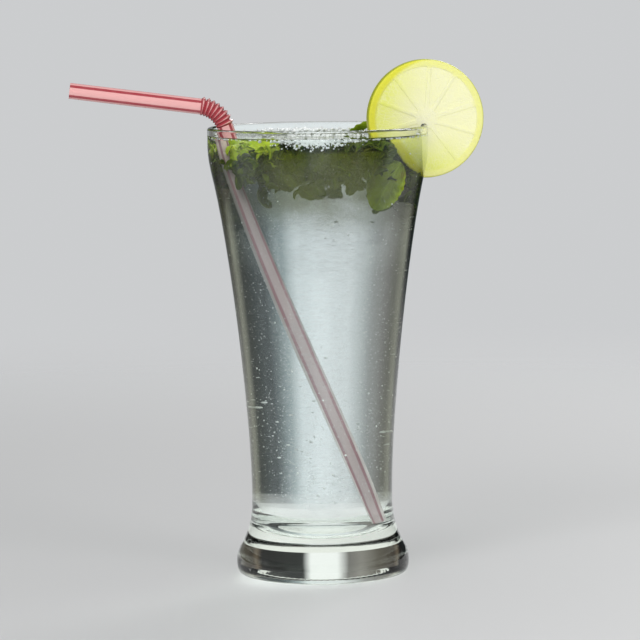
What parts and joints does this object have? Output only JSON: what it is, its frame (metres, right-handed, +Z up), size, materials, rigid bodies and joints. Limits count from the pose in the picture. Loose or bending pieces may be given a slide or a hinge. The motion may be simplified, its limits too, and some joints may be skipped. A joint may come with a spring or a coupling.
{
  "type": "lime soda",
  "caption": "Pale clear lime soda in a tall footed flared glass, with a bendy drinking straw, a lime slice on the rim and mint leaves at the surface.",
  "frame": {"origin": "where the axis of the glass meets the flat face it stands on", "axes": "+Z up along the axis of the glass, +X towards the lime slice, -X towards the straw's arm, -Y towards the side it is looked at from"},
  "size_m": [0.1569, 0.084, 0.1957],
  "materials": {
    "glass": "clear pressed glass, polished",
    "drink": "clear, slightly cloudy liquid",
    "straw": "translucent, glossy",
    "lime": "moist cut fruit with a waxy rind",
    "mint": "wet leaf"
  },
  "bodies": {
    "root": {"glass": "glass", "drink": "drink", "straw": "straw", "lime_slice": "lime", "mint_leaf_rear": "mint", "mint_leaf_left": "mint", "mint_leaf_right": "mint"}
  },
  "joints": []
}
